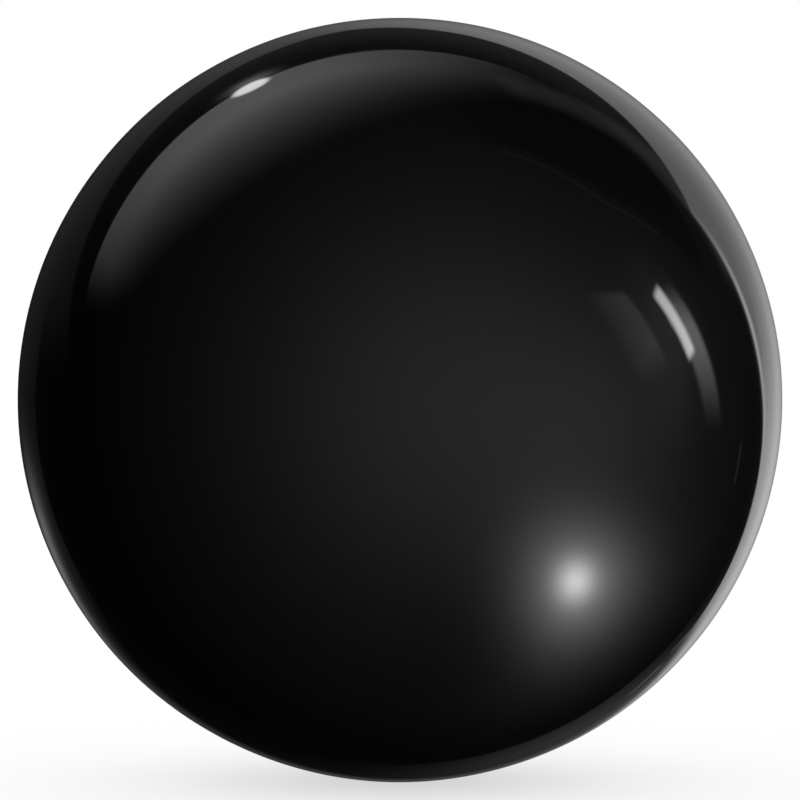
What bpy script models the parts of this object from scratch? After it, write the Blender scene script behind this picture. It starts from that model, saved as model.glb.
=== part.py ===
"""An inflatable rubber friction ball for opening screwed watch case backs.

Every piece is turned about the valve axis. In each mesh that axis is local Z, with the
ball's centre at zero. One empty at the centre lays the axis along the world's +Y.
The wall is, from the outside in: a tacky cover, a two-piece carcass whose halves meet in
a stepped lap joint with a tape over it, and an airtight bladder. The valve is a rubber
housing through that wall, a self-sealing core inside it, and a push-in plug.
"""

import math

import bmesh
import bpy
from mathutils import Vector

MM = 0.001
GAP = 0.3 * MM

# Ball and wall, as radii about the centre
BALL_R = 32.5 * MM
COVER_WALL = 1.4 * MM
CARCASS_WALL = 2.4 * MM
BLADDER_WALL = 0.9 * MM

# Lap joint between the carcass halves, and the tape on its inside
LAP_HALF_LENGTH = 1.5 * MM
TAPE_THICKNESS = 0.5 * MM
TAPE_HALF_WIDTH = 4.0 * MM

# Valve, as radii about its axis and heights above the ball's centre
VALVE_TOP = 32.0 * MM
HEAD_R = 4.7 * MM
HEAD_THICKNESS = 1.2 * MM
SHANK_R = 3.9 * MM
FLANGE_R = 8.5 * MM
FLANGE_THICKNESS = 1.0 * MM
STEM_R = 3.5 * MM
STEM_LIP = 1.0 * MM
NEEDLE_R = 1.0 * MM
PATCH_R = 11.0 * MM
PATCH_THICKNESS = 0.7 * MM

# Self-sealing core, in a chamber below the plug
CORE_R = 2.1 * MM
CORE_LENGTH = 6.9 * MM
CORE_SLIT_R = 0.3 * MM
CORE_FUNNEL_R = 1.1 * MM
CORE_FUNNEL_DEPTH = 1.4 * MM

# Plug, and the seat that its head sits in
PLUG_HEAD_R = 2.5 * MM
PLUG_HEAD_THICKNESS = 1.2 * MM
PLUG_CHAMFER = 0.5 * MM
PLUG_STEM_R = 1.2 * MM
PLUG_STEM_LENGTH = 4.0 * MM
PLUG_SINK = 0.15 * MM
SEAT_CLEARANCE = 0.2 * MM
STEM_CLEARANCE = 0.1 * MM

# Two notches that let a fingernail under the plug's head
NOTCH_REACH_R = 4.0 * MM
NOTCH_WIDTH = 3.0 * MM
NOTCH_DEPTH = 1.0 * MM

# Radii of the small fillets
SOFT_EDGE = 0.25 * MM
THIN_EDGE = 0.12 * MM
COVER_LIP = 0.4 * MM

# Rubbers: linear colour, then roughness
COVER_RUBBER = ((0.012, 0.012, 0.013), 0.12)
CARCASS_RUBBER = ((0.045, 0.045, 0.047), 0.65)
TAPE_RUBBER = ((0.42, 0.26, 0.11), 0.7)
BLADDER_RUBBER = ((0.02, 0.02, 0.022), 0.45)
PATCH_RUBBER = ((0.09, 0.085, 0.08), 0.75)
HOUSING_RUBBER = ((0.022, 0.022, 0.023), 0.5)
CORE_RUBBER = ((0.16, 0.15, 0.14), 0.4)
PLUG_RUBBER = ((0.018, 0.018, 0.019), 0.35)

# Facets: steps round the axis, and the angle between rings along a meridian
COVER_STEPS = 48
WALL_STEPS = 36
VALVE_STEPS = 24
COVER_RING = math.radians(7.5)
WALL_RING = math.radians(10.0)
CLOSEST_RING = 0.3
FILLET_STEPS = 2
ROUND_END_STEPS = 3
SHARP_EDGE = math.radians(35.0)
MERGE = 1e-6

# Radii that follow from the ones above
COVER_INNER_R = BALL_R - COVER_WALL
CARCASS_R = COVER_INNER_R - GAP
CARCASS_INNER_R = CARCASS_R - CARCASS_WALL
BLADDER_R = CARCASS_INNER_R - GAP
BLADDER_INNER_R = BLADDER_R - BLADDER_WALL
TAPE_R = CARCASS_INNER_R + TAPE_THICKNESS
PATCH_OUTER_R = CARCASS_INNER_R + PATCH_THICKNESS
FLANGE_OUTER_R = BLADDER_INNER_R - GAP
COVER_HOLE_R = HEAD_R + GAP
WALL_HOLE_R = SHANK_R + GAP
SEAT_R = PLUG_HEAD_R + SEAT_CLEARANCE
PLUG_TOP = VALVE_TOP - PLUG_SINK
SEAT_FLOOR = PLUG_TOP - PLUG_HEAD_THICKNESS - SEAT_CLEARANCE
PASSAGE_R = PLUG_STEM_R + STEM_CLEARANCE
CHAMBER_TOP = PLUG_TOP - PLUG_HEAD_THICKNESS - PLUG_STEM_LENGTH - GAP
CHAMBER_FLOOR = CHAMBER_TOP - CORE_LENGTH - 2 * GAP
CHAMBER_R = CORE_R + GAP
STEM_END = CHAMBER_FLOOR - STEM_LIP


def clear_scene():
    """Remove every object of the scene."""
    for item in list(bpy.data.objects):
        bpy.data.objects.remove(item, do_unlink=True)


def rubber(name, finish):
    """Return a Principled material for one kind of rubber, a colour and a roughness."""
    colour, roughness = finish
    material = bpy.data.materials.new(name)
    material.use_nodes = True
    shader = material.node_tree.nodes["Principled BSDF"]
    shader.inputs["Base Color"].default_value = (*colour, 1.0)
    shader.inputs["Roughness"].default_value = roughness
    shader.inputs["Metallic"].default_value = 0.0
    return material


def height_on(radius, r):
    """Height at which a sphere of this radius is r away from the valve axis."""
    return math.sqrt(radius**2 - r**2)


def meridian(radius, start, end, ring):
    """Outline points on a sphere between two angles from the valve axis, ends included.

    The points between the ends lie on whole multiples of the ring angle, so that the
    facets of nested shells stay parallel. None lies closer to an end than CLOSEST_RING
    of a ring.
    """
    low, high = sorted((start, end))
    first = math.floor(low / ring)
    last = math.ceil(high / ring)
    inner = [index * ring for index in range(first, last + 1)]
    closest = CLOSEST_RING * ring
    inner = [angle for angle in inner if min(angle - low, high - angle) > closest]
    angles = [low, *inner, high]
    if start > end:
        angles.reverse()
    return [(radius * math.sin(angle), radius * math.cos(angle)) for angle in angles]


def angle_at_radius(radius, r):
    """Angle from the valve axis, on its near side, at which a sphere is r away from it."""
    return math.asin(r / radius)


def angle_at_height(radius, z):
    """Angle from the valve axis at which a sphere is at this height."""
    return math.acos(z / radius)


def rounded(corners):
    """Closed outline in which each (r, z, fillet) corner has become a small arc."""
    outline = []
    for index, (r, z, fillet) in enumerate(corners):
        here = Vector((r, z))
        before = (Vector(corners[index - 1][:2]) - here).normalized()
        after = (Vector(corners[(index + 1) % len(corners)][:2]) - here).normalized()
        if not fillet:
            outline.append((r, z))
            continue
        half = before.angle(after) / 2
        centre = here + (before + after).normalized() * fillet / math.sin(half)
        first = here + before * fillet / math.tan(half) - centre
        turn = math.pi - 2 * half
        if before.x * after.y - before.y * after.x > 0:
            turn = -turn
        for step in range(FILLET_STEPS + 1):
            angle = turn * step / FILLET_STEPS
            cosine, sine = math.cos(angle), math.sin(angle)
            spoke = Vector((first.x * cosine - first.y * sine, first.x * sine + first.y * cosine))
            outline.append(tuple(centre + spoke))
    return outline


def sharp(points):
    """Outline points as corners without a fillet."""
    return [(r, z, 0.0) for r, z in points]


def turned(name, corners, steps, material, axis):
    """Return the object made by turning a closed outline about the valve axis."""
    mesh_builder = bmesh.new()
    outline = rounded(corners)
    points = [mesh_builder.verts.new((max(r, 0.0), 0.0, z)) for r, z in outline]
    for first, second in zip(points, points[1:] + points[:1]):
        if first.co.x > MERGE or second.co.x > MERGE:
            mesh_builder.edges.new((first, second))
    bmesh.ops.spin(
        mesh_builder,
        geom=list(mesh_builder.verts) + list(mesh_builder.edges),
        cent=(0.0, 0.0, 0.0),
        axis=(0.0, 0.0, 1.0),
        angle=math.tau,
        steps=steps,
        use_merge=True,
    )
    bmesh.ops.remove_doubles(mesh_builder, verts=mesh_builder.verts, dist=MERGE)
    bmesh.ops.recalc_face_normals(mesh_builder, faces=mesh_builder.faces)
    mesh = bpy.data.meshes.new(name)
    mesh_builder.to_mesh(mesh)
    mesh_builder.free()
    mesh.shade_smooth()
    mesh.set_sharp_from_angle(angle=SHARP_EDGE)
    mesh.materials.append(material)
    item = bpy.data.objects.new(name, mesh)
    item.parent = axis
    bpy.context.scene.collection.objects.link(item)
    return item


def shell_with_hole(outer_r, inner_r, hole_r, ring, lip=0.0):
    """Outline of a ball's wall from the valve hole round to the far pole and back."""
    outer = sharp(meridian(outer_r, angle_at_radius(outer_r, hole_r), math.pi, ring))
    inner = sharp(meridian(inner_r, math.pi, angle_at_radius(inner_r, hole_r), ring))
    outer[0] = (*outer[0][:2], lip)
    return outer + inner


def grip_cover(axis):
    """The seamless tacky skin that is pressed on the case back."""
    outline = shell_with_hole(BALL_R, COVER_INNER_R, COVER_HOLE_R, COVER_RING, COVER_LIP)
    return turned("grip_cover", outline, COVER_STEPS, rubber("cover", COVER_RUBBER), axis)


def lap_radii():
    """Radii of the lap's faces: the groove's wall, the inner tongue and the outer tongue."""
    groove = TAPE_R + GAP
    tongue = (CARCASS_R - groove - GAP) / 2
    return groove, groove + tongue, CARCASS_R - tongue


def carcass_front_half(axis, material):
    """The half of the carcass away from the valve, with the lap's outer tongue."""
    groove_r, _, tongue_r = lap_radii()
    tip = LAP_HALF_LENGTH - GAP / 2
    shelf = -LAP_HALF_LENGTH - GAP / 2
    groove_end = -TAPE_HALF_WIDTH - GAP
    outer = meridian(CARCASS_R, angle_at_height(CARCASS_R, tip), math.pi, WALL_RING)
    groove_angle = angle_at_height(CARCASS_INNER_R, groove_end)
    inner = meridian(CARCASS_INNER_R, math.pi, groove_angle, WALL_RING)
    step = [(groove_r, groove_end), (groove_r, shelf), (tongue_r, shelf), (tongue_r, tip)]
    return turned("carcass_front_half", sharp(outer + inner + step), WALL_STEPS, material, axis)


def carcass_valve_half(axis, material):
    """The half of the carcass round the valve, with the lap's inner tongue."""
    groove_r, tongue_r, _ = lap_radii()
    tip = -LAP_HALF_LENGTH + GAP / 2
    shelf = LAP_HALF_LENGTH + GAP / 2
    groove_end = TAPE_HALF_WIDTH + GAP
    recess_r = PATCH_OUTER_R + GAP
    recess_edge = PATCH_R + GAP
    outer = meridian(
        CARCASS_R, angle_at_radius(CARCASS_R, WALL_HOLE_R), angle_at_height(CARCASS_R, shelf), WALL_RING
    )
    step = [(tongue_r, shelf), (tongue_r, tip), (groove_r, tip), (groove_r, groove_end)]
    inner = meridian(
        CARCASS_INNER_R,
        angle_at_height(CARCASS_INNER_R, groove_end),
        angle_at_radius(CARCASS_INNER_R, recess_edge),
        WALL_RING,
    )
    recess = meridian(
        recess_r,
        angle_at_radius(recess_r, recess_edge),
        angle_at_radius(recess_r, WALL_HOLE_R),
        WALL_RING,
    )
    outline = sharp(outer + step + inner + recess)
    return turned("carcass_valve_half", outline, WALL_STEPS, material, axis)


def seam_tape(axis):
    """The band bonded over the lap joint, in the groove on the carcass's inside."""
    top = angle_at_height(TAPE_R, TAPE_HALF_WIDTH)
    outer = meridian(TAPE_R, top, math.pi - top, WALL_RING / 2)
    inner = meridian(CARCASS_INNER_R, math.pi - top, top, WALL_RING / 2)
    outline = sharp(outer + inner)
    return turned("seam_tape", outline, WALL_STEPS, rubber("tape", TAPE_RUBBER), axis)


def bladder(axis):
    """The thin airtight liner."""
    outline = shell_with_hole(BLADDER_R, BLADDER_INNER_R, WALL_HOLE_R, WALL_RING)
    return turned("bladder", outline, WALL_STEPS, rubber("bladder", BLADDER_RUBBER), axis)


def valve_patch(axis):
    """The disc that stiffens the wall round the valve, between carcass and bladder."""
    outer = meridian(
        PATCH_OUTER_R,
        angle_at_radius(PATCH_OUTER_R, WALL_HOLE_R),
        angle_at_radius(PATCH_OUTER_R, PATCH_R),
        WALL_RING,
    )
    inner = meridian(
        CARCASS_INNER_R,
        angle_at_radius(CARCASS_INNER_R, PATCH_R),
        angle_at_radius(CARCASS_INNER_R, WALL_HOLE_R),
        WALL_RING,
    )
    outline = sharp(outer + inner)
    return turned("valve_patch", outline, WALL_STEPS, rubber("patch", PATCH_RUBBER), axis)


def notch_cutter(axis):
    """The bar that cuts the two fingernail notches across the housing's head."""
    above = GAP
    mesh_builder = bmesh.new()
    bmesh.ops.create_cube(mesh_builder, size=1.0)
    size = (2 * NOTCH_REACH_R, NOTCH_WIDTH, NOTCH_DEPTH + above)
    bmesh.ops.scale(mesh_builder, vec=size, verts=mesh_builder.verts)
    centre = (0.0, 0.0, VALVE_TOP + (above - NOTCH_DEPTH) / 2)
    bmesh.ops.translate(mesh_builder, vec=centre, verts=mesh_builder.verts)
    mesh = bpy.data.meshes.new("notch_cutter")
    mesh_builder.to_mesh(mesh)
    mesh_builder.free()
    cutter = bpy.data.objects.new("notch_cutter", mesh)
    cutter.parent = axis
    cutter.hide_render = True
    cutter.display_type = "WIRE"
    bpy.context.scene.collection.objects.link(cutter)
    return cutter


def valve_housing(axis):
    """The soft valve body: a head flush with the cover, a shank, a flange and a stem."""
    head_floor = VALVE_TOP - HEAD_THICKNESS
    flange_floor_r = FLANGE_OUTER_R - FLANGE_THICKNESS
    outline = [
        (SEAT_R, VALVE_TOP, THIN_EDGE),
        (HEAD_R, VALVE_TOP, SOFT_EDGE),
        (HEAD_R, head_floor, THIN_EDGE),
        (SHANK_R, head_floor, 0.0),
        (SHANK_R, height_on(FLANGE_OUTER_R, SHANK_R), 0.0),
        (FLANGE_R, height_on(FLANGE_OUTER_R, FLANGE_R), 0.0),
        (FLANGE_R, height_on(flange_floor_r, FLANGE_R), 0.0),
        (STEM_R, height_on(flange_floor_r, STEM_R), 0.0),
        (STEM_R, STEM_END, SOFT_EDGE),
        (NEEDLE_R, STEM_END, 0.0),
        (NEEDLE_R, CHAMBER_FLOOR, 0.0),
        (CHAMBER_R, CHAMBER_FLOOR, 0.0),
        (CHAMBER_R, CHAMBER_TOP, 0.0),
        (PASSAGE_R, CHAMBER_TOP, 0.0),
        (PASSAGE_R, SEAT_FLOOR, THIN_EDGE),
        (SEAT_R, SEAT_FLOOR, 0.0),
    ]
    material = rubber("housing", HOUSING_RUBBER)
    housing = turned("valve_housing", outline, VALVE_STEPS, material, axis)
    notches = housing.modifiers.new("fingernail_notches", "BOOLEAN")
    notches.operation = "DIFFERENCE"
    notches.solver = "EXACT"
    notches.object = notch_cutter(axis)
    return housing


def valve_core(axis):
    """The self-sealing insert, with a funnel that guides the needle to its slit."""
    top = CHAMBER_TOP - GAP
    floor = top - CORE_LENGTH
    outline = [
        (CORE_FUNNEL_R, top, 0.0),
        (CORE_R, top, SOFT_EDGE),
        (CORE_R, floor, SOFT_EDGE),
        (CORE_SLIT_R, floor, 0.0),
        (CORE_SLIT_R, top - CORE_FUNNEL_DEPTH, 0.0),
    ]
    return turned("valve_core", outline, VALVE_STEPS, rubber("core", CORE_RUBBER), axis)


def valve_plug(axis):
    """The push-in plug: a flat head with a chamfer under its rim, and a round-ended stem."""
    head_floor = PLUG_TOP - PLUG_HEAD_THICKNESS
    tip = head_floor - PLUG_STEM_LENGTH
    shoulder = tip + PLUG_STEM_R
    turns = [math.pi / 2 * step / ROUND_END_STEPS for step in range(ROUND_END_STEPS + 1)]
    round_end = [
        (PLUG_STEM_R * math.cos(turn), shoulder - PLUG_STEM_R * math.sin(turn), 0.0) for turn in turns
    ]
    outline = [
        (0.0, PLUG_TOP, 0.0),
        (PLUG_HEAD_R, PLUG_TOP, SOFT_EDGE),
        (PLUG_HEAD_R, head_floor + PLUG_CHAMFER, 0.0),
        (PLUG_HEAD_R - PLUG_CHAMFER, head_floor, 0.0),
        (PLUG_STEM_R, head_floor, 0.0),
        *round_end,
    ]
    return turned("valve_plug", outline, VALVE_STEPS, rubber("plug", PLUG_RUBBER), axis)


def build():
    """Make every piece round the valve axis, and lay that axis along +Y."""
    clear_scene()
    axis = bpy.data.objects.new("valve_axis", None)
    bpy.context.scene.collection.objects.link(axis)
    axis.rotation_euler = (math.radians(-90.0), 0.0, 0.0)
    carcass = rubber("carcass", CARCASS_RUBBER)
    grip_cover(axis)
    carcass_front_half(axis, carcass)
    carcass_valve_half(axis, carcass)
    seam_tape(axis)
    bladder(axis)
    valve_patch(axis)
    valve_housing(axis)
    valve_core(axis)
    valve_plug(axis)


build()
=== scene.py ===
"""The finished look of an inflatable rubber friction ball for opening watch case backs.

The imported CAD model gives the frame. Every piece is turned afresh about the valve axis,
which is +Y, as a fine mesh with the lips, beads, grooves and notches that the plain solid
leaves out. Radii and heights come from the frame wherever a node's box shows them. The
studio is a world shader: soft panels and lamps round the ball, which its gloss reflects.
"""

import math

import bpy
import numpy as np
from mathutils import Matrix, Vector


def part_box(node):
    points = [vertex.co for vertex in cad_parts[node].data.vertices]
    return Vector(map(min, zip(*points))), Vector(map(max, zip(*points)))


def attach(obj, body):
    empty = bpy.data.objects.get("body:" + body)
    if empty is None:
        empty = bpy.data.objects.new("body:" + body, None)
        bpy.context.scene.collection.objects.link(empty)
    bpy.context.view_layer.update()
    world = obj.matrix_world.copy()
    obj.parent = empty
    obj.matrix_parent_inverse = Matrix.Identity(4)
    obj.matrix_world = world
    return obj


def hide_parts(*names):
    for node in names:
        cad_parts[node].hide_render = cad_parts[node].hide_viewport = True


MM = 0.001

# Fine meshes: steps round the axis, and the longest edge along an outline
COVER_STEPS = 288
WALL_STEPS = 144
VALVE_STEPS = 160
COVER_EDGE = 0.75 * MM
WALL_EDGE = 1.6 * MM
VALVE_EDGE = 0.2 * MM
FILLET_STEPS = 6
SHARP_EDGE = math.radians(42.0)
ON_AXIS = 1e-7

# A raised or sunk ring is sampled this many widths to each side, in this many steps
RING_REACH = 3.0
RING_STEPS = 14

# Wall, from the outside in
GAP = 0.3 * MM
COVER_WALL = 1.4 * MM
CARCASS_WALL = 2.4 * MM
TAPE_THICKNESS = 0.5 * MM
PATCH_THICKNESS = 0.7 * MM
BLADDER_WALL = 0.9 * MM

# Cover: mouth round the valve, a bead and a groove, the parting line and slow waviness
MOUTH_GAP = 0.15 * MM
MOUTH_FILLET = 0.35 * MM
BEAD_R = 6.3 * MM
BEAD_HEIGHT = 0.07 * MM
BEAD_WIDTH = 0.3 * MM
GROOVE_R = 7.8 * MM
GROOVE_DEPTH = 0.09 * MM
GROOVE_WIDTH = 0.2 * MM
PARTING_HEIGHT = 0.016 * MM
PARTING_WIDTH = 0.13 * MM
WAVE_COUNT = 9
WAVE_HEIGHT = 0.006 * MM
SHORT_WAVE = 15 * MM
LONG_WAVE = 34 * MM
WAVE_SEED = 7

# Carcass, tape, patch and bladder
LAP_HALF_LENGTH = 1.5 * MM
SHELL_FILLET = 0.14 * MM
TAPE_TEETH = 72
TAPE_TOOTH = 0.35 * MM
TAPE_TOOTH_STEPS = 4
TAPE_UNCUT_SHARE = 0.8
PATCH_FEATHER = 2.2 * MM
PATCH_EDGE = 0.12 * MM
LINER_RIDGE_HEIGHT = 0.1 * MM
LINER_RIDGE_WIDTH = 0.4 * MM

# Valve housing
HEAD_R = 4.7 * MM
HEAD_THICKNESS = 1.2 * MM
HEAD_BEAD_R = 4.3 * MM
HEAD_BEAD_WIDTH = 0.14 * MM
HEAD_BEAD_HEIGHT = 0.05 * MM
SHANK_R = 3.9 * MM
FLANGE_THICKNESS = 1.0 * MM
STEM_R = 3.5 * MM
STEM_LIP = 1.0 * MM
NEEDLE_R = 1.0 * MM
SEAT_CLEARANCE = 0.2 * MM
STEM_CLEARANCE = 0.1 * MM
NOTCH_REACH_R = 4.0 * MM
NOTCH_HALF_WIDTH = 1.5 * MM
NOTCH_DEPTH = 1.0 * MM
NOTCH_CORNER = 0.9 * MM
NOTCH_EDGE = 0.5 * MM
SOFT_EDGE = 0.25 * MM
THIN_EDGE = 0.12 * MM

# Core and plug
CORE_SLIT_R = 0.3 * MM
CORE_SLIT_PINCH = 0.25
CORE_FUNNEL_R = 1.1 * MM
CORE_FUNNEL_DEPTH = 1.4 * MM
PLUG_HEAD_THICKNESS = 1.2 * MM
PLUG_CHAMFER = 0.5 * MM
PLUG_STEM_R = 1.2 * MM
PLUG_DISH_R = 1.75 * MM
PLUG_DISH_DEPTH = 0.16 * MM
PLUG_GATE_R = 0.32 * MM
PLUG_GATE_HEIGHT = 0.07 * MM
PLUG_RIBS = 5
PLUG_RIB_STEPS = 8
PLUG_RIB_HEIGHT = 0.05 * MM

# Patterns of the materials: spacing of a turned mould's rings and of cloth threads, and the
# lightness and roughness of the two moulded rubbers
MOULD_RING = 0.14 * MM
TAPE_THREAD = 0.9 * MM
PATCH_THREAD = 0.7 * MM
VALVE_RUBBER = {"level": 0.02, "rough": 0.44}
PLUG_RUBBER = {"level": 0.026, "rough": 0.34}

# Camera, floor and the lamp over the floor
CAMERA_DISTANCE = 300 * MM
CAMERA_SENSOR = 36.0
CAMERA_CLIP_RATIO = 100
BALL_SHARE_OF_FRAME = 0.956
FLOOR_SIZE = 12.0
FLOOR_REACH = 120 * MM
FLOOR_SHADE = 0.35
KEY_PLACE = (-150, 48)
KEY_DISTANCE = 0.9
KEY_SIZE = 0.5
KEY_POWER = 18.0

# Studio. A place is (azimuth, elevation) in degrees as seen from the ball: azimuth 0 is the
# camera's side, 90 its right, 180 behind the ball. A circle is the place at its centre and
# the angle from there to its edge. A pair of angles is where a light has faded out and where
# it is full. A radiance of 1 is white.
RIGHT = (90, 0)
AHEAD_FADE = (0.0, 0.5)
DARK_ROOM = 0.005

FILL_PLACE = (16.5, -1)
FILL_RADIANCE = 0.4
FILL_CORE = 65.0
FILL_DECAY = 21.0
FILL_REACH = (136.0, 97.0)

PANEL = {"place": (60, -7), "size": (30.0, 25.0), "radiance": 0.2}
PANEL_TOP = ((79.5, 66.8), (93, 44), (104, 32))
PANEL_TOP_HALF_WIDTH = 0.5
PANEL_TOP_SOFTNESS = 0.6
PANEL_TOP_RADIANCE = 0.04
ABOVE_FADE = (1.0, -5.0)
ABOVE_PLACE = (113, 44)
ABOVE_REACH = (46.0, 20.0)
ABOVE_FOOT = (14.0, 26.0)
ABOVE_DIMMING = 0.42

SOFTBOX_PLACE = (-148, 39)
SOFTBOX_RADIANCE = 1.09
SOFTBOX_SPREAD = (52.0, 4.0)
SOFTBOX_FRAME = ((179, -22), 75.0)
SOFTBOX_SHADE = 0.42
SOFTBOX_SHADE_REACH = 13.0
SOFTBOX_FOOT = (14.0, 26.0)
FRAME_SOFTNESS = 0.8

CLOTH_FROM = (146, 59)
CLOTH_TO = (131, 15.5)
CLOTH_HALF_WIDTH = 4.0
CLOTH_SOFTNESS = 3.0
CLOTH_RADIANCE = 0.09

UNDER_CARD = {"place": (164, 38), "size": (35.0, 12.0), "radiance": 0.045}

SPOT = ((-148.5, 47.6), 3.3)
SPOT_SOFTNESS = 1.4
SPOT_RADIANCE = 4.5
SPOT_GLOW = {"place": (-151.5, 45.1), "size": (2.8, 2.8), "radiance": 0.65}

BEHIND = (180, 0)
HOLLOW_SPREAD = (27.0, 10.0)
HOLLOW_DEPTH = 0.65
BACKDROP_SIDE = ((-167, 22), 58.8)
BACKDROP_TOP = ((160.7, -27.5), 62.6)
BACKDROP_FOOT = (-12.0, -7.0)
BACKDROP_FOOT_TILT = 20.0
BACKDROP_RIGHT = (100.0, 76.0)
BACKDROP_RADIANCE = 0.34
BACKDROP_SOFTNESS = 1.0
BAND_ELEVATION = -7.0
BAND_SPREAD = 13.0
BAND_RADIANCE = 0.57

EDGE_PLACE = (135, 10)
EDGE_LENGTH = 12.0
EDGE_WIDTH = 1.3
EDGE_RADIANCE = 1.2

FAR_WALL_TOP = ((-167, -29), 60.5)
FAR_WALL_FOOT = (-24.0, -13.0)
FAR_WALL_LOW = (2.0, 14.0)
FAR_WALL_TURN = 95.0
FAR_WALL_FADE = 33.0
FAR_WALL_RADIANCE = 0.165

CARD_EDGE = ((180, 0), 41.5)
CARD_SOFTNESS = 1.5
LEFT_CARD = {"place": (-161, -8.5), "size": (10.5, 4.0), "radiance": 0.27}
LOW_CARD = {"place": (162, -28), "size": (12.0, 14.0), "radiance": 0.08}

RODS = (
    ((153.6, -22.5), (152.1, -20.8), 0.2),
    ((160.0, -23.6), (156.1, -22.4), 0.2),
    ((123.2, -5.8), (124.2, -11.6), 0.08),
)
ROD_HALF_WIDTH = 0.5
ROD_SOFTNESS = 0.5

STRIP_FROM = (89.2, 23.0)
STRIP_TO = (96.8, 8.7)
STRIP_HALF_WIDTH = 1.75
STRIP_SOFTNESS = 1.0
STRIP_RADIANCE = 6.7
STRIP_GLOW = {"place": (87, 12), "size": (9.0, 15.0), "radiance": 0.14}
SHADE_FROM = (92.5, 23)
SHADE_TO = (108, -8)
SHADE_HALF_WIDTH = 3.6
SHADE_SOFTNESS = 1.2
SHADE_FOOT = (-6.0, 16.0)
SHADE_TOP = (25.0, 12.0)
SHADE_RADIANCE = 1.6

WINDOW_CORNERS = ((58, 27.5), (77, 26), (88, 6), (72, 0))
WINDOW_SOFTNESS = (2.5, 1.8, 9.0, 7.0)
WINDOW_DIM = 0.1
WINDOW_RADIANCE = 0.26
WINDOW_FADE = 14.0

LAMP_PLACE = (73.8, -44.6)
LAMP_TILT = -18.0
LAMP_STRETCH = 1.26
LAMP_CORE_RADIANCE = 7.6
LAMP_CORE_SIZE = 5.4
LAMP_HALO_RADIANCE = 5.0
LAMP_HALO_SIZE = 11.4
LAMP_HALO_POWER = 1.4

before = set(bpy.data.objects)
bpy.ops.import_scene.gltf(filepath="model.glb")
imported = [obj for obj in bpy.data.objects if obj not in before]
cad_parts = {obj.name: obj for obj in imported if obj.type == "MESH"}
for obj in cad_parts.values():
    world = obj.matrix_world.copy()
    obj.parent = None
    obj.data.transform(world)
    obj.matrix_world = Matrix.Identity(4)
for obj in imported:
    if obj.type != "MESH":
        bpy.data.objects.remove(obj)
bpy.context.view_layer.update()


# ------------------------------------------------------------------ measures from the frame


def reach(node):
    """Largest distance of a CAD node from the valve axis."""
    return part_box(node)[1].x


def top(node):
    """Height of a CAD node's outer end along the valve axis, from the ball's centre."""
    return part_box(node)[1].y


def foot(node):
    """Height of a CAD node's inner end along the valve axis, from the ball's centre."""
    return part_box(node)[0].y


BALL_R = reach("grip_cover")
CARCASS_R = -foot("carcass_front_half")
CARCASS_INNER_R = CARCASS_R - CARCASS_WALL
LINER_R = -foot("bladder")
LINER_INNER_R = LINER_R - BLADDER_WALL
FLANGE_OUTER_R = LINER_INNER_R - GAP
TAPE_R = CARCASS_INNER_R + TAPE_THICKNESS
WALL_HOLE_R = SHANK_R + GAP
SEAT_R = reach("valve_plug") + SEAT_CLEARANCE
PASSAGE_R = PLUG_STEM_R + STEM_CLEARANCE
SEAT_FLOOR = top("valve_plug") - PLUG_HEAD_THICKNESS - SEAT_CLEARANCE


# ------------------------------------------------------------------ outlines


def height_on(radius, r):
    """Height at which a sphere about the ball's centre is r away from the valve axis."""
    return math.sqrt(radius**2 - r**2)


def angle_at_radius(radius, r):
    """Angle from the valve axis, on its near side, at which a sphere is r away from it."""
    return math.asin(r / radius)


def angle_at_height(radius, height):
    """Angle from the valve axis at which a sphere is at this height."""
    return math.acos(height / radius)


def ring(angle, width, height):
    """A raised ring round the valve axis on a sphere: its angle, its width and its height."""
    return {"angle": angle, "width": width, "height": height}


def arc(radius, start, end, longest, rings=()):
    """Points on a sphere's outline between two angles from the valve axis, raised by rings."""
    count = max(2, math.ceil(abs(end - start) * radius / longest))
    angles = set(np.linspace(start, end, count + 1))
    for raised in rings:
        reach_angle = RING_REACH * raised["width"] / radius
        middle = raised["angle"]
        angles.update(np.linspace(middle - reach_angle, middle + reach_angle, RING_STEPS + 1))
    low, high = sorted((start, end))
    angles = sorted(angle for angle in angles if low <= angle <= high)
    if start > end:
        angles.reverse()
    points = []
    for angle in angles:
        offsets = [(angle - raised["angle"]) * radius / raised["width"] for raised in rings]
        lift = sum(raised["height"] * math.exp(-offset**2) for raised, offset in zip(rings, offsets))
        points.append(((radius + lift) * math.sin(angle), (radius + lift) * math.cos(angle)))
    return points


def fillet(corner, before, after, radius):
    """Points of a small arc that rounds one corner of an outline."""
    here = Vector(corner)
    back = (Vector(before) - here).normalized()
    onward = (Vector(after) - here).normalized()
    half = back.angle(onward) / 2
    centre = here + (back + onward).normalized() * radius / math.sin(half)
    spoke = here + back * radius / math.tan(half) - centre
    turn = math.pi - 2 * half
    if back.x * onward.y - back.y * onward.x > 0:
        turn = -turn
    points = []
    for step in range(FILLET_STEPS + 1):
        angle = turn * step / FILLET_STEPS
        cosine = math.cos(angle)
        sine = math.sin(angle)
        x = centre.x + spoke.x * cosine - spoke.y * sine
        y = centre.y + spoke.x * sine + spoke.y * cosine
        points.append((x, y))
    return points


def smoothed(corners, longest):
    """Closed outline of (r, height, fillet) corners, rounded and cut into short edges."""
    outline = []
    for index, (r, height, radius) in enumerate(corners):
        if radius:
            before = corners[index - 1][:2]
            after = corners[(index + 1) % len(corners)][:2]
            outline += fillet((r, height), before, after, radius)
        else:
            outline.append((r, height))
    fine = []
    for first, second in zip(outline, outline[1:] + outline[:1]):
        steps = max(1, math.ceil(math.dist(first, second) / longest))
        onward = np.subtract(second, first)
        fine += [tuple(np.add(first, onward * step / steps)) for step in range(steps)]
    return fine


def plain(points):
    """Outline points as corners without a fillet."""
    return [(r, height, 0.0) for r, height in points]


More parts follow.
